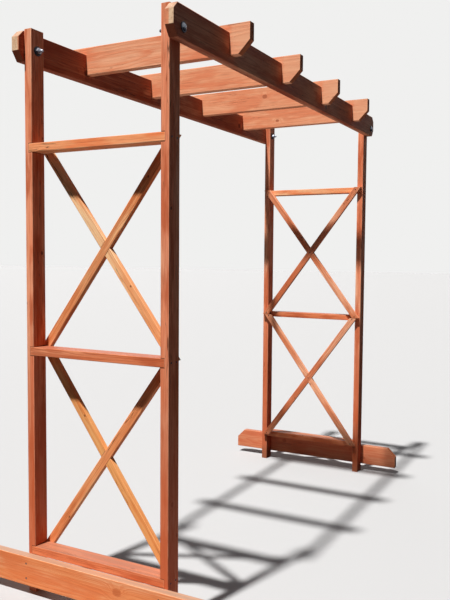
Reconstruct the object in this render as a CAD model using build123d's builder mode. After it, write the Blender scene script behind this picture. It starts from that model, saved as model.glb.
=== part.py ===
from build123d import *
import math
import os

os.makedirs("parts", exist_ok=True)

# Free-standing timber pergola: two braced side panels, two long beams, four cross rafters.
# X runs along the beams, Y along the rafters (the way people walk through), Z is up.
# The origin is on the ground, at the middle of the footprint.
# Left panel at -X, right panel at +X, front beam at -Y, back beam at +Y.

# Overall sizes, in millimetres
span = 2275.0               # over the outer faces of the two side panels, along X
panel_width = 665.0         # over the outer sides of a panel's two posts, along Y
post_height = 2225.0

# Timber sections
post_width = 35.0           # narrow side of a post, along Y
post_depth = 70.0           # wide side of a post, along X
rail_height = 33.0
beam_depth = 117.0
beam_thickness = 35.0
rafter_depth = 117.0
rafter_thickness = 35.0
brace_width = 35.0
brace_thickness = 22.0
board_height = 117.0
board_thickness = 35.0

# Heights: each is set from the ground up or from the post's top down
bottom_rail_top = 188.0
beam_drop = 6.0             # beam's top below the post's top
top_rail_drop = 437.5       # top rail's top below the post's top
middle_rail_raise = 4.0     # middle rail's top above half-way between the other two's
bolt_drop = 75.0            # bolt's centre below the beam's top

# Rails: how deep their ends are let into the posts
housing_depth = 17.5

# Braces: how far inside the post the centre line meets the rail above and the rail below
brace_head_inset = 17.0
upper_foot_inset = 3.0
lower_foot_inset = 15.0
brace_end_gap = 3.0         # between the ends of upper and lower braces on the middle rail

# Base boards
board_top = 156.0
board_overhang = 217.5      # past the outer side of each post
board_corner_cut = 50.0

# Beams: how far they reach past the posts, and their end cuts
beam_left_reach = 30.0
beam_right_reach = 12.0
beam_top_cut = 27.0
beam_bottom_cut_length = 26.0
beam_bottom_cut_height = 38.0

# Rafters
rafter_count = 4
rafter_first = 375.0        # from the left panel's outer face to the first rafter's left face
rafter_pitch = 500.0
rafter_rise = 31.0          # how far the rafters stand above the beams
rafter_reach = 87.5         # past the outer face of each beam
rafter_corner_cut = 50.0

# Bolts at the post heads
shank_diameter = 12.0
head_diameter = 30.0
head_height = 7.0
washer_diameter = 37.0
washer_thickness = 3.0
nut_flats = 22.0
nut_height = 11.0
thread_tail = 13.0          # past the nut

# Fits
joint_clearance = 0.4       # beside a timber in its housing or notch
hole_clearance = 0.5        # around a bolt's shank

# Places worked out from the sizes above
half_span = span / 2
half_width = panel_width / 2
post_inner = half_width - post_width
top_rail_top = post_height - top_rail_drop
middle_rail_top = (bottom_rail_top + top_rail_top) / 2 + middle_rail_raise
beam_top = post_height - beam_drop
bolt_height = beam_top - bolt_drop
rafter_top = beam_top + rafter_rise
rafter_bottom = rafter_top - rafter_depth
beam_bottom = beam_top - beam_depth
notch_level = (beam_top + rafter_bottom) / 2
hole_radius = shank_diameter / 2 + hole_clearance
rail_tops = {"bottom": bottom_rail_top, "middle": middle_rail_top, "top": top_rail_top}
rafter_lefts = [rafter_first - half_span + i * rafter_pitch for i in range(rafter_count)]
sides = {"left": -1, "right": 1}
ends = {"front": -1, "back": 1}


def finish(part, name):
    """Label a finished piece and write it to its own file."""
    part.label = name
    export_step(part, f"parts/{name}.step")


def post_middle(side, end):
    """Middle of a post's section. side is -1 left, 1 right; end is -1 front, 1 back."""
    return side * (half_span - post_depth / 2), end * (half_width - post_width / 2)


# Posts: one at each corner, with a housing for each rail and a hole for the beam's bolt
def make_post(name, side, end):
    x_middle, y_middle = post_middle(side, end)
    housing_middle = end * (post_inner + housing_depth / 2)
    housing_height = rail_height + joint_clearance
    with BuildPart() as post:
        with BuildSketch(Plane.XY):
            with Locations((x_middle, y_middle)):
                Rectangle(post_depth, post_width)
        extrude(amount=post_height)
        with BuildSketch(Plane.YZ.offset(x_middle)):
            for rail_top in rail_tops.values():
                with Locations((housing_middle, rail_top - rail_height + housing_height / 2)):
                    Rectangle(housing_depth, housing_height)
        extrude(amount=post_depth / 2, both=True, mode=Mode.SUBTRACT)
        with BuildSketch(Plane.XZ.offset(-y_middle)):
            with Locations((x_middle, bolt_height)):
                Circle(hole_radius)
        extrude(amount=post_width, both=True, mode=Mode.SUBTRACT)
    finish(post.part, name)


for side_name, side in sides.items():
    for end_name, end in ends.items():
        make_post(f"post_{side_name}_{end_name}", side, end)


# Rails: laid flat between a panel's posts, their ends let half-way into them
def make_rail(name, side, rail_top):
    x_middle = side * (half_span - post_depth / 2)
    rail_length = 2 * (post_inner + housing_depth - joint_clearance)
    with BuildPart() as rail:
        with BuildSketch(Plane.XY.offset(rail_top - rail_height)):
            with Locations((x_middle, 0)):
                Rectangle(post_depth, rail_length)
        extrude(amount=rail_height)
    finish(rail.part, name)


for side_name, side in sides.items():
    for level, rail_top in rail_tops.items():
        make_rail(f"rail_{side_name}_{level}", side, rail_top)


# Braces: crossed battens on the inner face of each panel, over the posts and rails.
# Each runs from the corner above the lower rail to the opposite corner below the upper
# rail. It is cut level at both ends and flush with the outer side of the post.
middle_rail_middle = middle_rail_top - rail_height / 2
bays = {
    "upper": {
        "foot": middle_rail_top,
        "foot_inset": upper_foot_inset,
        "head": top_rail_top - rail_height,
        "low_cut": middle_rail_middle + brace_end_gap / 2,
        "high_cut": top_rail_top,
    },
    "lower": {
        "foot": bottom_rail_top,
        "foot_inset": lower_foot_inset,
        "head": middle_rail_top - rail_height,
        "low_cut": bottom_rail_top - rail_height / 2,
        "high_cut": middle_rail_middle - brace_end_gap / 2,
    },
}


def brace_bar(bay, rise, width):
    """Outline of a brace before its end cuts. rise is 1 where its head is at the back."""
    foot_y = -rise * (post_inner - bay["foot_inset"])
    head_y = rise * (post_inner - brace_head_inset)
    run = head_y - foot_y
    climb = bay["head"] - bay["foot"]
    angle = math.degrees(math.atan2(climb, run))
    length = math.hypot(run, climb) + 4 * post_width
    with Locations(((foot_y + head_y) / 2, (bay["foot"] + bay["head"]) / 2)):
        Rectangle(length, width, rotation=angle)


def make_brace(name, side, bay, rise):
    """One batten, halved where the other one of its pair crosses it."""
    outer_half = rise * side == 1
    post_face = -side * (post_depth - half_span)
    lap_start = post_face - side * brace_thickness / 2 if outer_half else post_face
    cut_height = bay["high_cut"] - bay["low_cut"]
    with BuildPart() as brace:
        with BuildSketch(Plane.YZ.offset(post_face)):
            brace_bar(bay, rise, brace_width)
            with Locations((0, bay["low_cut"] + cut_height / 2)):
                Rectangle(panel_width, cut_height, mode=Mode.INTERSECT)
        extrude(amount=-side * brace_thickness)
        with BuildSketch(Plane.YZ.offset(lap_start)):
            brace_bar(bay, -rise, brace_width + 2 * joint_clearance)
        extrude(amount=-side * brace_thickness / 2, mode=Mode.SUBTRACT)
    finish(brace.part, name)


for side_name, side in sides.items():
    for bay_name, bay in bays.items():
        for end_name, end in ends.items():
            make_brace(f"brace_{side_name}_{bay_name}_to_{end_name}", side, bay, end)


# Base boards: on the outer face of each panel's posts, with the top corners cut off
def make_base_board(name, side):
    with BuildPart() as board:
        with BuildSketch(Plane.YZ.offset(side * half_span)) as outline:
            with Locations((0, board_top - board_height / 2)):
                Rectangle(panel_width + 2 * board_overhang, board_height)
            chamfer(outline.vertices().group_by(Axis.Y)[-1], length=board_corner_cut)
        extrude(amount=side * board_thickness)
    finish(board.part, name)


for side_name, side in sides.items():
    make_base_board(f"base_board_{side_name}", side)


# Beams: bolted to the outer sides of the posts, notched from above for the rafters
def make_beam(name, end):
    left = -half_span - beam_left_reach
    right = half_span + beam_right_reach
    shoulder = beam_top - beam_top_cut
    hip = beam_bottom + beam_bottom_cut_height
    with BuildPart() as beam:
        with BuildSketch(Plane.XZ.offset(-end * half_width)):
            with BuildLine():
                Polyline(
                    (left, shoulder),
                    (left + beam_top_cut, beam_top),
                    (right - beam_top_cut, beam_top),
                    (right, shoulder),
                    (right, hip),
                    (right - beam_bottom_cut_length, beam_bottom),
                    (left + beam_bottom_cut_length, beam_bottom),
                    (left, hip),
                    close=True,
                )
            make_face()
            for rafter_left in rafter_lefts:
                with Locations((rafter_left + rafter_thickness / 2, (beam_top + notch_level) / 2)):
                    Rectangle(
                        rafter_thickness + 2 * joint_clearance,
                        beam_top - notch_level,
                        mode=Mode.SUBTRACT,
                    )
            for side in sides.values():
                with Locations((post_middle(side, end)[0], bolt_height)):
                    Circle(hole_radius, mode=Mode.SUBTRACT)
        extrude(amount=-end * beam_thickness)
    finish(beam.part, name)


for end_name, end in ends.items():
    make_beam(f"beam_{end_name}", end)


# Rafters: across both beams, notched from below over them, lower corners cut off
def make_rafter(name, rafter_left):
    beam_middle = half_width + beam_thickness / 2
    rafter_length = panel_width + 2 * (beam_thickness + rafter_reach)
    with BuildPart() as rafter:
        with BuildSketch(Plane.YZ.offset(rafter_left)) as outline:
            with Locations((0, rafter_top - rafter_depth / 2)):
                Rectangle(rafter_length, rafter_depth)
            chamfer(outline.vertices().group_by(Axis.Y)[0], length=rafter_corner_cut)
            for end in ends.values():
                with Locations((end * beam_middle, (rafter_bottom + notch_level) / 2)):
                    Rectangle(
                        beam_thickness + 2 * joint_clearance,
                        notch_level - rafter_bottom,
                        mode=Mode.SUBTRACT,
                    )
        extrude(amount=rafter_thickness)
    finish(rafter.part, name)


for number, rafter_left in enumerate(rafter_lefts, start=1):
    make_rafter(f"rafter_{number}", rafter_left)


# Bolts: through beam and post, with a domed head outside, a nut inside and a washer under each
def make_bolt(name, side, end):
    x_middle = post_middle(side, end)[0]
    outside = Plane(
        origin=(x_middle, end * (half_width + beam_thickness), bolt_height),
        x_dir=(1, 0, 0),
        z_dir=(0, end, 0),
    )
    inside = Plane(
        origin=(x_middle, end * post_inner, bolt_height),
        x_dir=(1, 0, 0),
        z_dir=(0, -end, 0),
    )
    grip = beam_thickness + post_width
    head_base = end * washer_thickness
    head_crown = end * (washer_thickness + head_height)
    with BuildPart() as bolt:
        with BuildSketch(outside.offset(-grip - washer_thickness)):
            Circle(shank_diameter / 2)
        extrude(amount=grip + 2 * washer_thickness)
        for seat in (outside, inside):
            with BuildSketch(seat):
                Circle(washer_diameter / 2)
            extrude(amount=washer_thickness)
        with BuildSketch(Plane(outside.origin, x_dir=(1, 0, 0), z_dir=(0, 0, 1))):
            with BuildLine():
                TangentArc((0, head_crown), (head_diameter / 2, head_base), tangent=(1, 0))
                Polyline((head_diameter / 2, head_base), (0, head_base), (0, head_crown))
            make_face()
        revolve(axis=Axis(outside.origin, (0, 1, 0)))
        with BuildSketch(inside.offset(washer_thickness)):
            RegularPolygon(nut_flats / 2, 6, major_radius=False)
        extrude(amount=nut_height)
        with BuildSketch(inside.offset(washer_thickness + nut_height)):
            Circle(shank_diameter / 2)
        extrude(amount=thread_tail)
    finish(bolt.part, name)


for side_name, side in sides.items():
    for end_name, end in ends.items():
        make_bolt(f"bolt_{side_name}_{end_name}", side, end)
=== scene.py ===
import math
import random

import bmesh
import bpy
from mathutils import Matrix, Vector


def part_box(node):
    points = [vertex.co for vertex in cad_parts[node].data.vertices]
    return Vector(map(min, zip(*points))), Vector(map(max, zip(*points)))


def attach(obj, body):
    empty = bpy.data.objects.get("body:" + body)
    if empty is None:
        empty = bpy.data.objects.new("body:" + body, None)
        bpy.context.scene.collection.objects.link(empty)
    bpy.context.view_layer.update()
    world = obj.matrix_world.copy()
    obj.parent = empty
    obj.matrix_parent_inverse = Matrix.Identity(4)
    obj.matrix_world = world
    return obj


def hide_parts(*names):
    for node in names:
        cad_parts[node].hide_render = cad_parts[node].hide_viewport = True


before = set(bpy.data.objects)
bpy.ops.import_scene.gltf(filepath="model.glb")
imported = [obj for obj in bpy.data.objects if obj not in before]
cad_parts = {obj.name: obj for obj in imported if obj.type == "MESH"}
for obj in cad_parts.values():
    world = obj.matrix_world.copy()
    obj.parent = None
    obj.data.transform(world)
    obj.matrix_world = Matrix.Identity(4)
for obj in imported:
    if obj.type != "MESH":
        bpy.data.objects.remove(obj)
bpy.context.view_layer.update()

# Posts: four lengths of dressed pine, 70 by 35 mm, one at each corner of the arch.
# Each is housed for three rails, stood on its end and brushed with a red-brown oil stain,
# which on top is greyed partly by the sun and partly as painted shade, and which stays
# darker and dirtier at the foot.
X, Y, Z = Vector((1, 0, 0)), Vector((0, 1, 0)), Vector((0, 0, 1))
chance = random.Random(11)


def tint(red, green, blue):
    """A colour as a paint chart gives it, 0 to 255, in the linear values that a shader takes."""
    linear = [
        c / 12.92 if c <= 0.04045 else ((c + 0.055) / 1.055) ** 2.4
        for c in (red / 255, green / 255, blue / 255)
    ]
    return (*linear, 1.0)


class Socket:
    """A node's output, on which a pattern is written as an expression."""

    def __init__(self, nodes, output):
        self.nodes = nodes
        self.output = output

    def math(self, operation, *values):
        sockets = dict(enumerate(values))
        return self.nodes.add("ShaderNodeMath", {"operation": operation}, sockets)

    def __add__(self, other):
        return self.math("ADD", self, other)

    def __sub__(self, other):
        return self.math("SUBTRACT", self, other)

    def __rsub__(self, other):
        return self.math("SUBTRACT", other, self)

    def __mul__(self, other):
        return self.math("MULTIPLY", self, other)

    def __truediv__(self, other):
        return self.math("DIVIDE", self, other)

    def __mod__(self, other):
        return self.math("FLOORED_MODULO", self, other)

    def __pow__(self, other):
        return self.math("POWER", self, other)

    def __abs__(self):
        return self.math("ABSOLUTE", self)

    __radd__ = __add__
    __rmul__ = __mul__

    def rise(self, low, high):
        """A smooth step from 0 at low to 1 at high, falling where low is the greater."""
        return self.nodes.add(
            "ShaderNodeMapRange",
            {"interpolation_type": "SMOOTHSTEP"},
            {"Value": self, "From Min": low, "From Max": high},
        )

    def least(self, other):
        return self.math("MINIMUM", self, other)

    def most(self, other):
        return self.math("MAXIMUM", self, other)


class Nodes:
    """The nodes of a material or of the world, each added by its type, settings and sockets."""

    def __init__(self, tree):
        self.tree = tree

    def feed(self, socket, value):
        if isinstance(value, Socket):
            self.tree.links.new(value.output, socket)
        else:
            socket.default_value = value

    def add(self, kind, settings, values, output=0):
        made = self.tree.nodes.new(kind)
        for setting, value in settings.items():
            setattr(made, setting, value)
        for socket, value in values.items():
            self.feed(made.inputs[socket], value)
        return Socket(self, made.outputs[output])

    def mix(self, share, first, second):
        """Two colours mixed. The Mix node's colour sockets come sixth and seventh."""
        settings = {"data_type": "RGBA"}
        return self.add("ShaderNodeMix", settings, {0: share, 6: first, 7: second}, 2)

    def apart(self, vector, axis):
        """One number of a vector: 0, 1 or 2 for its X, Y or Z."""
        return self.add("ShaderNodeSeparateXYZ", {}, {0: vector}, axis)

    def noise(self, place, scale, shift=(0, 0, 0), detail=2.0, roughness=0.5):
        """Soft noise with so many lumps to the metre in each direction of place."""
        settings = {"operation": "MULTIPLY_ADD"}
        where = self.add("ShaderNodeVectorMath", settings, {0: place, 1: scale, 2: shift})
        values = {"Vector": where, "Scale": 1.0, "Detail": detail, "Roughness": roughness}
        return self.add("ShaderNodeTexNoise", {}, values)


class Finish(Nodes):
    """A material: its shader's own values, and the nodes that vary over the surface."""

    def __init__(self, name, roughness=0.6, specular=0.1):
        self.material = bpy.data.materials.new(name)
        self.material.use_nodes = True
        super().__init__(self.material.node_tree)
        self.shader = self.tree.nodes["Principled BSDF"]
        self.shader.inputs["Roughness"].default_value = roughness
        self.shader.inputs["Specular IOR Level"].default_value = specular

    def vary(self, socket, value):
        self.feed(self.shader.inputs[socket], value)

    def bump(self, height, depth):
        self.vary("Normal", self.add("ShaderNodeBump", {}, {"Height": height, "Distance": depth}))


def stained_pine(
    name,
    along,
    across,
    tones,
    pith,
    knots,
    foot=None,
    housings=None,
    bare=None,
    tails=None,
    nails=None,
):
    """Stained pine as solid wood: growth rings round a pith line, fibres, knots and checks.

    along and across are the directions of the piece's length and width. pith is where the
    middle of the tree lies, across and through from the piece's own, and the ring width.
    Each knot is its place along and across from the piece's middle, and its radius. foot is
    the height up to which soil splashes. housings are the tops of the three rails, a rail's
    height and how far out its end comes. bare is how far out from the arch's middle the cut
    ends missed the stain, and tails how far out the faces are paler. nails is how far
    along and across from the piece's middle its four nails go in.
    """
    finish = Finish(name)
    turn = Matrix((along, across, along.cross(across)))
    corners = [turn @ vertex.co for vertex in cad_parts[name].data.vertices]
    low, high = (Vector(map(limit, zip(*corners))) for limit in (min, max))
    middle, half = (low + high) / 2, (high - low) / 2
    shift = tuple(chance.uniform(-40, 40) for _ in range(3))
    other = shift[::-1]

    # The point in the wood: along the grain, across the wide face, through the thickness
    point = finish.add("ShaderNodeTexCoord", {}, {}, "Object")
    normal = finish.add("ShaderNodeTexCoord", {}, {}, "Normal")
    place = finish.add(
        "ShaderNodeMapping",
        {"vector_type": "POINT"},
        {"Vector": point, "Location": -middle, "Rotation": turn.to_euler()},
    )
    a, u, w = (finish.apart(place, axis) for axis in range(3))

    # Knots push the rings aside and hold rings of their own
    knot_stretch, knot_ring_width = 1.35, 0.0016
    bulge = None
    for knot_along, knot_across, knot_radius in knots:
        da = (a - knot_along) / knot_stretch
        du = u - knot_across
        wobble = finish.noise(place, (90, 90, 30), shift, 1.0) * (0.5 * knot_radius)
        away = (da * da + du * du) ** 0.5 + wobble - 0.25 * knot_radius
        push = (away / (2.3 * knot_radius)) ** 2 * -1.0
        push = push.math("EXPONENT", push) * (1.5 * knot_radius)
        core = away.rise(knot_radius * 1.02, knot_radius * 0.8)
        line = away.rise(knot_radius * 1.35, knot_radius * 1.02) - core * 0.6
        line = line + core * ((away / knot_ring_width % 1.0).rise(0.3, 0.9) * 0.45)
        if bulge is None:
            bulge, knot_core, knot_line = push, core, line
        else:
            bulge, knot_core, knot_line = bulge + push, knot_core.most(core), knot_line.most(line)

    # Growth rings: distance from the pith, which wandered as the tree grew and tapered
    wander, taper = 0.045, 0.006
    sway = finish.noise(place, (1.7, 7, 7), shift) - 0.5
    bend = finish.noise(place, (1.1, 5, 5), other) - 0.5
    pith_across, pith_through, ring_width = pith
    du = u - pith_across + sway * wander
    dw = w - pith_through + bend * wander
    radius = (du * du + dw * dw) ** 0.5 + a * taper
    if knots:
        radius = radius + bulge
    ragged = finish.noise(place, (9, 160, 160), shift, 1.0)
    years = finish.add("ShaderNodeCombineXYZ", {}, {0: radius})
    years = finish.noise(years, (95, 0, 0), shift, 3.0)
    season = (radius / ring_width + years * 2.4 + ragged * 0.6) % 1.0
    late = season.rise(0.35, 0.92) * season.rise(1.0, 0.94) * years.rise(0.25, 0.6)

    # Fibres, uneven soaking of the stain, and fine checks that opened as the piece dried
    fibre = finish.noise(place, (9, 520, 520), shift, 3.0, 0.6)
    streak = finish.noise(place, (1.3, 85, 85), shift, 4.0, 0.65)
    soak = finish.noise(place, (3.5, 16, 16), other, 3.0, 0.6)
    zone = finish.noise(place, (1.6, 9, 9), shift, 2.0)
    thread = abs(finish.noise(place, (2.6, 70, 70), other, 2.0) - 0.5)
    where = finish.noise(place, (2.0, 18, 18), shift, 1.0)
    check = thread.rise(0.012, 0.003) * where.rise(0.56, 0.66)

    colour = finish.mix(zone.rise(0.55, 0.38) * 0.65, tones["early"], tones["pale"])
    colour = finish.mix(late * 0.65, colour, tones["late"])
    colour = finish.mix(streak.rise(0.5, 0.62) * 0.5, colour, tones["late"])
    colour = finish.mix(streak.rise(0.46, 0.36) * 0.35, colour, tones["pale"])
    colour = finish.mix(soak.rise(0.46, 0.62) * 0.7, colour, tones["rich"])
    colour = finish.mix(fibre.rise(0.5, 0.66) * 0.5, colour, tones["deep"])
    if knots:
        colour = finish.mix(knot_core * 0.7, colour, tones["knot"])
        colour = finish.mix(knot_line * 0.6, colour, tones["dark"])
    colour = finish.mix(check * 0.8, colour, tones["dark"])

    # The stain has kept its colour low down, and the tails are paler
    height = finish.apart(point, 2)
    far = abs(finish.apart(point, 1))
    out = far + soak * 0.012 - 0.006
    if foot is not None:
        kept = (height + soak * 0.5).rise(1.45, 0.75)
        colour = finish.mix(kept * 0.7, colour, tones["rich"])
    if tails is not None:
        colour = finish.mix(out.rise(tails, tails + 0.02) * 0.5, colour, tones["pale"])

    # The arrises are painted paler, partly as rubbed wear and partly as painted highlight
    sides = [half.x - abs(a), half.y - abs(u), half.z - abs(w)]
    smaller = sides[0].least(sides[1])
    larger = sides[0].most(sides[1])
    arris = smaller.most(larger.least(sides[2]))
    rub = finish.noise(place, (22, 60, 60), shift, 3.0, 0.65)
    rubbed_and_highlit = (arris + rub * 0.004).rise(0.0045, 0.0018)
    colour = finish.mix(rubbed_and_highlit * 0.45, colour, tones["pale"])
    # What faces up is greyed, partly by sun and rain and partly as painted shade
    upward = finish.apart(normal, 2)
    weather_and_shade = upward.rise(0.5, 0.9) * (0.7 + streak.rise(0.4, 0.6) * 0.25)
    colour = finish.mix(weather_and_shade, colour, tones["weathered_and_shaded"])

    # End grain: cut across the rings and soaked dark, with short checks along the rays
    settings = {"operation": "DOT_PRODUCT"}
    facing = finish.add("ShaderNodeVectorMath", settings, {0: normal, 1: along}, "Value")
    end = abs(facing).rise(0.35, 0.6)
    turned = du.math("ARCTAN2", du, dw)
    ray = abs((turned * 9.0 + rub * 0.8) % 1.0 - 0.5).rise(0.05, 0.01)
    ray = ray * finish.noise(place, (5, 130, 130), other, 1.0).rise(0.5, 0.6)
    cut = finish.mix(late * 0.75 + soak.rise(0.4, 0.6) * 0.25, tones["end"], tones["end_late"])
    if bare is not None:
        missed = out.rise(bare - 0.003, bare + 0.003).most(upward.rise(0.2, 0.4))
        ringed = late * 0.6 + streak.rise(0.45, 0.6) * 0.3
        raw = finish.mix(ringed, tones["raw"], tones["raw_late"])
        # Bare cut faces that look up go greyer, partly weathered and partly painted shade
        raw = finish.mix(upward.rise(0.2, 0.6) * 0.75, raw, tones["raw_top"])
        # Cut faces that look down keep the stain and are darkened as painted shade
        underside_shade = upward.rise(-0.2, -0.4)
        cut = finish.mix(missed * (1 - underside_shade), cut, raw)
        cut = finish.mix(underside_shade * 0.8, cut, tones["deep"])
    cut = finish.mix(ray * 0.7, cut, tones["dark"])
    colour = finish.mix(end, colour, cut)
    grain = fibre * 0.5 + late * 0.35 - check * (1 - end) * 1.6 - ray * end * 1.2

    # Dark lines lie along the joints, partly dirt and partly painted shade of their thin gaps;
    # earth splashes up at the foot, and nails are driven flush
    if housings is not None:
        rail_tops, deep, reach = housings
        inward = far.rise(reach + 0.001, reach)
        end_line = abs(far - reach).rise(0.002, 0.0008) * 0.4
        for rail_top in rail_tops:
            level = height - rail_top
            seam_dirt_and_shade = abs(level).least(abs(level + deep)).rise(0.0032, 0.0012) * inward
            butt_dirt_and_shade = end_line * level.rise(0.001, 0) * level.rise(-deep - 0.001, -deep)
            colour = finish.mix(seam_dirt_and_shade.most(butt_dirt_and_shade) * 0.8, colour, tones["dark"])
    if foot is not None:
        splash = finish.noise(place, (14, 40, 40), shift, 4.0, 0.65)
        soil = (height + splash * 0.12).rise(foot + 0.06, foot - 0.03)
        colour = finish.mix(soil * 0.5, colour, tones["soil"])
    if nails is not None:
        da, du = abs(a) - nails[0], abs(u) - nails[1]
        off = (da * da + du * du) ** 0.5
        colour = finish.mix(off.rise(0.0048, 0.0036) * 0.8, colour, tones["dark"])
        colour = finish.mix(off.rise(0.0032, 0.0028), colour, tones["nail"])
        grain = grain - off.rise(0.0044, 0.0034) * 1.5

    finish.vary("Base Color", colour)
    finish.vary("Roughness", 0.5 + fibre * 0.2 + end * 0.1)
    finish.bump(grain, 0.0006)
    return finish.material


def mesh_of(shape, name):
    """A shape as a mesh of that name. The shape is done with."""
    mesh = bpy.data.meshes.new(name)
    shape.to_mesh(mesh)
    shape.free()
    return mesh


crease = math.radians(25)
long_arris = 0.0022
cut_arris = 0.0007
shortest_eased = 0.05


def dressed(name, along):
    """A copy of a timber's solid with its long arrises eased and its cut ends just broken."""
    shape = bmesh.new()
    shape.from_mesh(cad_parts[name].data)
    bmesh.ops.remove_doubles(shape, verts=shape.verts, dist=1e-5)
    flat = math.radians(1)
    bmesh.ops.dissolve_limit(shape, angle_limit=flat, verts=shape.verts, edges=shape.edges)
    for easing in (long_arris, cut_arris):
        sharp = []
        for edge in shape.edges:
            if not edge.is_convex or edge.calc_face_angle(0) < crease:
                continue
            run = edge.verts[1].co - edge.verts[0].co
            lengthways = abs(run.normalized().dot(along)) > 0.99
            if easing == long_arris and lengthways and run.length > shortest_eased:
                sharp.append(edge)
            if easing == cut_arris and run.length > 2.5 * cut_arris and not lengthways:
                sharp.append(edge)
        made = bmesh.ops.bevel(
            shape,
            geom=sharp,
            offset=easing,
            segments=3 if easing == long_arris else 1,
            profile=0.5,
            affect="EDGES",
            material=-1,
            clamp_overlap=True,
        )
        for face in made["faces"]:
            face.smooth = True
    return mesh_of(shape, name + "_timber")


def put(name, data):
    """An object of that name in the scene, at the origin."""
    item = bpy.data.objects.new(name, data)
    bpy.context.scene.collection.objects.link(item)
    return item


def stand_for(name, mesh, slot, *materials):
    """Put a finished piece in the scene in place of the solid of that name."""
    piece = put(mesh.name, mesh)
    for material in materials:
        mesh.materials.append(material)
    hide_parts(name)
    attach(piece, "root")


post_tones = {
    "early": tint(250, 158, 116),
    "late": tint(212, 108, 70),
    "deep": tint(156, 74, 43),
    "rich": tint(196, 92, 52),
    "pale": tint(255, 196, 156),
    "dark": tint(62, 30, 19),
    "knot": tint(116, 56, 33),
    "weathered_and_shaded": tint(147, 94, 71),
    "end": tint(188, 108, 70),
    "end_late": tint(132, 68, 41),
    "raw": tint(236, 200, 162),
    "raw_late": tint(200, 146, 108),
    "raw_top": tint(174, 134, 112),
    "soil": tint(118, 88, 68),
    "nail": tint(96, 94, 92),
}
post_knots = {
    "post_left_front": [(-0.653, -0.008, 0.0065), (-0.776, 0.023, 0.005), (0.41, -0.02, 0.004)],
    "post_left_back": [(0.25, 0.016, 0.005)],
    "post_right_front": [(-0.3, 0.015, 0.006)],
    "post_right_back": [(0.55, -0.018, 0.005), (-0.45, 0.02, 0.004)],
}
rail_tops = (0.188, 0.99175, 1.7875)
rail_height = 0.033
housing_reach = 0.315
housings = (rail_tops, rail_height, housing_reach)
for name, knots in post_knots.items():
    pith = (chance.uniform(-0.03, 0.03), chance.uniform(0.035, 0.07), 0.0042)
    wood = stained_pine(name, Z, X, post_tones, pith, knots, foot=0.1, housings=housings)
    stand_for(name, dressed(name, Z), "post_timber", wood)

# Rails: three in each side panel, pine 70 by 33 mm laid flat with the wide face up.
# Their ends are let half-way into the posts and nailed through from the posts' outer sides.
top_rail_tones = {
    **post_tones,
    "early": tint(255, 174, 118),
    "late": tint(240, 128, 76),
    "deep": tint(196, 92, 52),
    "rich": tint(246, 128, 72),
    "pale": tint(255, 208, 158),
}
low_rail_tones = {
    **post_tones,
    "early": tint(230, 130, 84),
    "late": tint(186, 88, 52),
    "deep": tint(142, 64, 36),
    "rich": tint(188, 86, 48),
    "pale": tint(246, 170, 126),
}
# The middle rails' tops go darker still, as painted shade under the parts above
middle_rail_tones = {**low_rail_tones, "weathered_and_shaded": tint(137, 79, 57)}
rail_tones = {"top": top_rail_tones, "middle": middle_rail_tones, "bottom": low_rail_tones}
rail_knots = {
    "rail_left_top": [(-0.02, 0.02, 0.005)],
    "rail_left_middle": [],
    "rail_left_bottom": [(-0.16, -0.01, 0.006)],
    "rail_right_top": [],
    "rail_right_middle": [(0.12, 0.01, 0.005)],
    "rail_right_bottom": [],
}
for name, knots in rail_knots.items():
    tones = rail_tones[name.split("_")[-1]]
    pith = (chance.uniform(-0.03, 0.03), -chance.uniform(0.03, 0.06), 0.0038)
    wood = stained_pine(name, Y, X, tones, pith, knots)
    stand_for(name, dressed(name, Y), "rail_timber", wood)

# Braces: two crossed pairs in each panel, pine battens 35 by 22 mm, half-lapped where they
# cross. They are cut level at both ends and nailed over the posts and rails.
brace_tones = {
    "left_front": {
        **post_tones,
        "early": tint(240, 154, 98),
        "late": tint(202, 108, 60),
        "deep": tint(156, 78, 41),
        "rich": tint(216, 116, 63),
        "pale": tint(255, 198, 142),
    },
    "left_upper_back": {
        **post_tones,
        "early": tint(255, 198, 144),
        "late": tint(240, 158, 102),
        "deep": tint(196, 108, 64),
        "rich": tint(246, 158, 98),
        "pale": tint(255, 226, 176),
    },
    "left_lower_back": {
        **post_tones,
        "early": tint(241, 167, 100),
        "late": tint(217, 123, 60),
        "deep": tint(176, 89, 44),
        "rich": tint(224, 126, 61),
        "pale": tint(245, 196, 132),
    },
    "right_front": {
        **post_tones,
        "early": tint(228, 140, 98),
        "late": tint(190, 98, 62),
        "deep": tint(150, 72, 42),
        "rich": tint(196, 100, 60),
    },
    "right_back": {
        **post_tones,
        "early": tint(236, 150, 106),
        "late": tint(200, 108, 70),
        "deep": tint(158, 78, 46),
        "rich": tint(208, 112, 68),
    },
}
# How far a brace's centre line runs across its bay, and how far it climbs
brace_bays = {"upper": (0.575, 0.76275), "lower": (0.563, 0.77075)}
for panel in ("left", "right"):
    for bay, (run, climb) in brace_bays.items():
        for head, lean in (("front", -1), ("back", 1)):
            name = f"brace_{panel}_{bay}_to_{head}"
            along = Vector((0, lean * run, climb)).normalized()
            across = Vector((0, climb, -lean * run)).normalized()
            pith = (chance.uniform(-0.02, 0.02), chance.uniform(0.03, 0.06), 0.0036)
            knots = [(chance.uniform(-0.4, 0.4), chance.uniform(-0.012, 0.012), 0.003)]
            split = (panel, head) == ("left", "back")
            tones = brace_tones[f"{panel}_{bay}_{head}" if split else f"{panel}_{head}"]
            wood = stained_pine(name, along, across, tones, pith, knots)
            stand_for(name, dressed(name, along), "brace_timber", wood)

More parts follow.
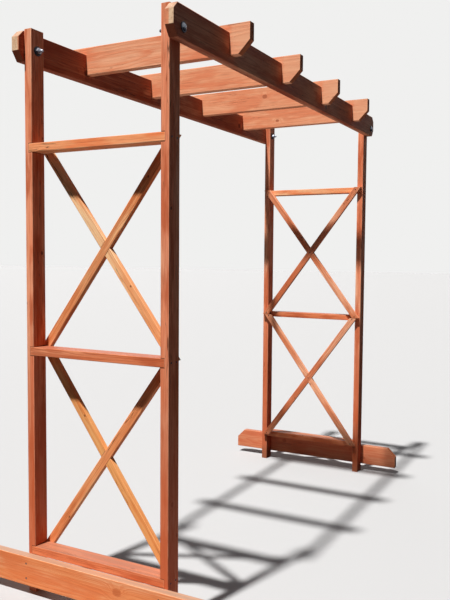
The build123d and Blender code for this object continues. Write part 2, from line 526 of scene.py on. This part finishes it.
# Base boards: one along the foot of each panel, pine 117 by 35 mm on edge, its top corners
# sawn off at a slant. Each is nailed to the outer faces of the two posts.
board_tones = {
    "base_board_left": {
        **post_tones,
        "early": tint(255, 186, 124),
        "late": tint(208, 112, 62),
        "deep": tint(152, 72, 39),
        "rich": tint(214, 112, 62),
        "pale": tint(255, 232, 184),
        "weathered_and_shaded": tint(153, 122, 101),
    },
    "base_board_right": {
        **post_tones,
        "early": tint(255, 190, 138),
        "late": tint(222, 120, 82),
        "deep": tint(152, 72, 46),
        "rich": tint(218, 114, 76),
        "pale": tint(255, 212, 168),
    },
}
board_knots = {
    "base_board_left": [(-0.13, 0.016, 0.013)],
    "base_board_right": [(0.2, 0.02, 0.01), (-0.35, -0.02, 0.008)],
}
for name, knots in board_knots.items():
    pith = (chance.uniform(-0.02, 0.02), 0.055, 0.0046)
    tones = board_tones[name]
    wood = stained_pine(name, Y, Z, tones, pith, knots, foot=0.06, nails=(0.315, 0.03))
    stand_for(name, dressed(name, Y), "board_timber", wood)

# Beams: one along each side of the arch, pine 117 by 35 mm on edge, outside the posts.
# The ends are sawn to a slant above and below, and the top is notched for the rafters.
# Beam tones are darker than the rest: partly a browner stain, partly painted shade
beam_tones = {
    **post_tones,
    "early": tint(190, 107, 76),
    "late": tint(156, 75, 50),
    "deep": tint(123, 56, 34),
    "rich": tint(160, 72, 44),
    "pale": tint(228, 164, 126),
    "end": tint(232, 148, 108),
    "end_late": tint(204, 116, 78),
}
beam_knots = {
    "beam_front": [(-0.66, 0.02, 0.011), (0.32, -0.03, 0.009)],
    "beam_back": [(-0.75, -0.02, 0.012), (-0.1, 0.03, 0.009), (0.7, -0.01, 0.01)],
}
beam_bare = {"beam_front": 0.348, "beam_back": 0.338}
for name, knots in beam_knots.items():
    pith = (chance.uniform(-0.02, 0.02), chance.uniform(0.05, 0.08), 0.0046)
    wood = stained_pine(name, X, Z, beam_tones, pith, knots, bare=beam_bare[name])
    stand_for(name, dressed(name, X), "beam_timber", wood)

# Rafters: four across the beams, pine 117 by 35 mm on edge, notched from below to drop over
# the beams' notches. Their lower corners are sawn off at a slant.
rafter_tones = {
    **post_tones,
    "early": tint(246, 173, 130),
    "late": tint(231, 141, 99),
    "deep": tint(184, 98, 67),
    "rich": tint(231, 132, 90),
    "pale": tint(246, 181, 141),
    "knot": tint(197, 110, 73),
    "dark": tint(143, 74, 48),
}
rafter_knots = {
    "rafter_1": [],
    "rafter_2": [(0.18, 0.015, 0.006)],
    "rafter_3": [(-0.05, 0.01, 0.009)],
    "rafter_4": [(0.1, -0.02, 0.007)],
}
for name, knots in rafter_knots.items():
    pith = (chance.uniform(-0.02, 0.02), chance.uniform(0.05, 0.08), 0.0046)
    wood = stained_pine(name, Y, Z, rafter_tones, pith, knots, tails=0.365)
    stand_for(name, dressed(name, Y), "rafter_timber", wood)

# Bolts: M12 galvanised coach bolts, one through beam and post at each corner, with a domed
# head outside, a hexagon nut with a tail of thread inside, and a washer under each.
bolt_radius = 0.006
thread_pitch = 0.00175
thread_depth = 0.0009
thread_point = 0.0012
head_radius = 0.015
head_height = 0.007
washer_radius = 0.0185
washer_thickness = 0.003
washer_rim = 0.0005
nut_flats = 0.022
nut_height = 0.011
thread_tail = 0.013
axis_gap = 0.0001
turned_off = math.radians(30)
shank_material, washer_material, head_material = 0, 1, 2


def galvanised(name, zinc, dull, roughness):
    """Zinc-coated steel: a faint spangle of crystals, gone dull and grey out of doors."""
    finish = Finish(name, specular=0.5)
    point = finish.add("ShaderNodeTexCoord", {}, {}, "Object")
    crystal = finish.add("ShaderNodeTexVoronoi", {}, {"Vector": point, "Scale": 260.0}, "Color")
    crystal = finish.add("ShaderNodeSeparateColor", {}, {0: crystal})
    bloom = finish.noise(point, (170, 170, 170), detail=4.0, roughness=0.6)
    colour = finish.mix(crystal * 0.5 + bloom.rise(0.4, 0.65) * 0.5, zinc, dull)
    finish.vary("Base Color", colour)
    finish.vary("Roughness", roughness + bloom * 0.25)
    finish.shader.inputs["Metallic"].default_value = 0.9
    finish.bump(bloom + crystal * 0.2, 0.0003)
    return finish.material


def turned_ring(shape, outline, material):
    """Turn a closed outline of radius and height once round the Z axis."""
    earlier = set(shape.faces)
    corners = [shape.verts.new((radius, 0, height)) for radius, height in outline]
    edges = [shape.edges.new(pair) for pair in zip(corners, corners[1:] + corners[:1])]
    bmesh.ops.spin(
        shape,
        geom=corners + edges,
        cent=(0, 0, 0),
        axis=(0, 0, 1),
        angle=math.tau,
        steps=40,
        use_merge=True,
    )
    for face in shape.faces:
        if face not in earlier:
            face.material_index = material


def hexagon(shape, seat, height):
    """A hexagon nut hanging down from seat, its lower corners turned off to a cone."""
    nut = bmesh.new()
    middle = Matrix.Translation((0, 0, seat - height / 2))
    bmesh.ops.create_cone(
        nut,
        cap_ends=True,
        segments=6,
        radius1=nut_flats / math.sqrt(3),
        radius2=nut_flats / math.sqrt(3),
        depth=height,
        matrix=middle @ Matrix.Rotation(math.radians(30), 4, "Z"),
    )
    crown = seat - height
    for corner in range(6):
        for step in range(-2, 3):
            angle = math.radians(60 * corner + 9 * step)
            out = Vector((math.cos(angle), math.sin(angle), 0))
            cut = bmesh.ops.bisect_plane(
                nut,
                geom=nut.verts[:] + nut.edges[:] + nut.faces[:],
                plane_co=out * nut_flats * 0.475 + Z * crown,
                plane_no=out * math.sin(turned_off) - Z * math.cos(turned_off),
                clear_outer=True,
            )
            rim = [item for item in cut["geom_cut"] if isinstance(item, bmesh.types.BMEdge)]
            if len(rim) > 2:
                bmesh.ops.contextual_create(nut, geom=rim)
    mesh = mesh_of(nut, "hexagon")
    shape.from_mesh(mesh)
    bpy.data.meshes.remove(mesh)


# The nut and tail are a lighter copy of the zinc, as a painted glint of sky
zinc_painted_glint = galvanised("zinc_painted_glint", tint(176, 180, 190), tint(128, 132, 142), 0.3)
# The washers' copy is darker, partly dull zinc and partly painted shade
zinc_dull_and_painted_shade = galvanised("zinc_dull_and_painted_shade", tint(66, 69, 77), tint(36, 38, 44), 0.4)
# The dome's copy is a middle grey, as painted half shade
zinc_painted_half_shade = galvanised("zinc_painted_half_shade", tint(126, 131, 141), tint(76, 80, 88), 0.15)
dome = (head_radius**2 + head_height**2) / (2 * head_height)
dome_span = math.asin(head_radius / dome)
dome_steps = 12
for name in ("bolt_left_front", "bolt_left_back", "bolt_right_front", "bolt_right_back"):
    low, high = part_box(name)
    middle = (low + high) / 2
    outward = -1 if name.endswith("front") else 1
    head_reach = washer_thickness + head_height
    nut_reach = washer_thickness + nut_height + thread_tail
    face = low.y + head_reach if outward < 0 else high.y - head_reach
    grip = (high.y - low.y) - head_reach - nut_reach

    shape = bmesh.new()
    for seat, way in ((0, 1), (-grip, -1)):
        top = seat + way * washer_thickness
        outline = [
            (bolt_radius + washer_rim, seat),
            (washer_radius, seat),
            (washer_radius, top - way * washer_rim),
            (washer_radius - washer_rim, top),
            (bolt_radius + washer_rim, top),
        ]
        turned_ring(shape, outline, washer_material)
    outline = [(axis_gap, washer_thickness)]
    for step in range(dome_steps, 0, -1):
        angle = dome_span * step / dome_steps
        outline.append((dome * math.sin(angle), head_reach - dome * (1 - math.cos(angle))))
    turned_ring(shape, outline + [(axis_gap, head_reach)], head_material)
    hexagon(shape, -grip - washer_thickness, nut_height)
    tail_end = -grip - nut_reach
    height = -grip - washer_thickness
    outline = [(axis_gap, washer_thickness), (bolt_radius, washer_thickness)]
    while height > tail_end + 2 * thread_pitch:
        outline.append((bolt_radius, height))
        outline.append((bolt_radius - thread_depth, height - thread_pitch / 2))
        height -= thread_pitch
    outline += [(bolt_radius, height), (bolt_radius - thread_point, tail_end)]
    turned_ring(shape, outline + [(axis_gap, tail_end)], shank_material)
    bmesh.ops.remove_doubles(shape, verts=shape.verts, dist=1e-6)
    bmesh.ops.recalc_face_normals(shape, faces=shape.faces)
    for edge in shape.edges:
        edge.smooth = edge.calc_face_angle(0) < crease
    for side in shape.faces:
        side.smooth = True
    tip = Matrix.Rotation(math.radians(90 if outward < 0 else -90), 4, "X")
    spot = Matrix.Translation((middle.x, face, middle.z))
    bmesh.ops.transform(shape, matrix=spot @ tip, verts=shape.verts)
    mesh = mesh_of(shape, name + "_steel")
    stand_for(name, mesh, "bolt_steel", zinc_painted_glint, zinc_dull_and_painted_shade, zinc_painted_half_shade)

# Nails: galvanised wire nails, driven through the posts into the rails' ends, and through
# the braces at each end and where they cross. Their flat heads stand barely proud.
nail_radius = 0.0036
nail_proud = 0.0008
nail_inset = 0.018


def nail_heads(name, places, outward):
    """One piece of all the nail heads that look the same way, each half sunk in the wood."""
    shape = bmesh.new()
    facing = Vector(outward).to_track_quat("Z", "Y").to_matrix().to_4x4()
    for place in places:
        bmesh.ops.create_cone(
            shape,
            cap_ends=True,
            segments=16,
            radius1=nail_radius,
            radius2=nail_radius * 0.86,
            depth=2 * nail_proud,
            matrix=Matrix.Translation(place) @ facing,
        )
    mesh = mesh_of(shape, name)
    mesh.materials.append(zinc_dull_and_painted_shade)
    nails = put(name, mesh)
    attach(nails, "root")


for side, outward in (("front", -Y), ("back", Y)):
    places = []
    for panel in ("left", "right"):
        low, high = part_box(f"post_{panel}_{side}")
        face = low.y if side == "front" else high.y
        for level in ("bottom", "middle", "top"):
            rail_low, rail_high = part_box(f"rail_{panel}_{level}")
            for x in (low.x + nail_inset, high.x - nail_inset):
                places.append((x, face, (rail_low.z + rail_high.z) / 2))
    nail_heads(f"post_nails_{side}", places, outward)
brace_rails = {"upper": ("middle", "top"), "lower": ("bottom", "middle")}
for panel, outward in (("left", X), ("right", -X)):
    places = []
    for bay, (run, climb) in brace_bays.items():
        low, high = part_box(f"brace_{panel}_{bay}_to_back")
        middle = (low + high) / 2
        face = high.x if panel == "left" else low.x
        below, above = (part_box(f"rail_{panel}_{level}") for level in brace_rails[bay])
        for height in ((low.z + below[1].z) / 2, (high.z + above[0].z) / 2):
            y = middle.y + (height - middle.z) * run / climb
            places += [(face, y, height), (face, -y, height)]
        places.append((face, 0, middle.z - middle.y * climb / run))
    nail_heads(f"brace_nails_{panel}", places, outward)

# Floor, light and camera: a plain pale studio floor that takes the arch's shadow, a sun high
# on the left as out of doors, a soft fill beside it, and the view that the photograph has.
paper = Finish("floor_paper", roughness=0.9)
paper.shader.inputs["Base Color"].default_value = tint(169, 168, 167)

# To all but the camera the floor is dark close around the arch, and throws back little light
spot = paper.add("ShaderNodeTexCoord", {}, {}, "Object")
beside, before = paper.apart(spot, 0) + 0.4, paper.apart(spot, 1) + 0.25
near = abs(beside).rise(1.3, 0.8) * abs(before).rise(1.0, 0.6)
sheen = paper.mix(near, tint(30, 30, 36), tint(160, 156, 156))
bounce = paper.add("ShaderNodeBsdfDiffuse", {}, {"Color": sheen})
seen = paper.add("ShaderNodeLightPath", {}, {}, "Is Camera Ray")
plain = Socket(paper, paper.shader.outputs[0])
shown = paper.add("ShaderNodeMixShader", {}, {0: seen, 1: bounce, 2: plain})
paper.feed(paper.tree.nodes["Material Output"].inputs["Surface"], shown)
ground = bmesh.new()
bmesh.ops.create_grid(ground, x_segments=1, y_segments=1, size=60)
ground_mesh = mesh_of(ground, "studio_floor")
ground_mesh.materials.append(paper.material)
floor = put("studio_floor", ground_mesh)
floor.visible_shadow = False

studio = bpy.data.worlds.new("studio")
bpy.context.scene.world = studio
studio.use_nodes = True
air = Nodes(studio.node_tree)
light = air.add("ShaderNodeBackground", {}, {"Color": tint(217, 222, 252), "Strength": 0.05})
backdrop = air.add("ShaderNodeBackground", {}, {"Color": tint(240, 240, 239)})
seen, mirrored, through = (
    air.add("ShaderNodeLightPath", {}, {}, f"Is {kind} Ray")
    for kind in ("Camera", "Glossy", "Transmission")
)
shown = air.add(
    "ShaderNodeMixShader", {}, {0: seen.most(mirrored).most(through), 1: light, 2: backdrop}
)
air.feed(air.tree.nodes["World Output"].inputs["Surface"], shown)


def distant_lamp(name, toward, strength, spread):
    """A lamp far off in a direction. A strength of 1 shows a facing colour as it is written."""
    lamp = bpy.data.lights.new(name, "SUN")
    lamp.energy = strength * math.pi
    lamp.angle = math.radians(spread)
    holder = put(name, lamp)
    holder.rotation_mode = "QUATERNION"
    holder.rotation_quaternion = Vector(toward).to_track_quat("Z", "Y")


distant_lamp("sun", (-0.366, 0.078, 0.927), 2.08, 2.5)
distant_lamp("fill_left", (-0.95, 0.4, 0.2), 0.03, 40)
distant_lamp("fill_behind", (0.7, 0.7, 0.3), 0.35, 50)
distant_lamp("fill_below", (-0.1, 0.1, -1), 0.2, 40)

lens = bpy.data.cameras.new("camera")
lens.lens = 43.034
camera = put("camera", lens)
heading, look_down, roll = 28.171, 3.511, 0.432
camera.matrix_world = (
    Matrix.Translation((-3.2594, -1.6928, 1.3567))
    @ Matrix.Rotation(math.radians(heading - 90), 4, "Z")
    @ Matrix.Rotation(math.radians(90 - look_down), 4, "X")
    @ Matrix.Rotation(math.radians(roll), 4, "Z")
)
bpy.context.scene.camera = camera
bpy.context.scene.view_settings.view_transform = "Standard"
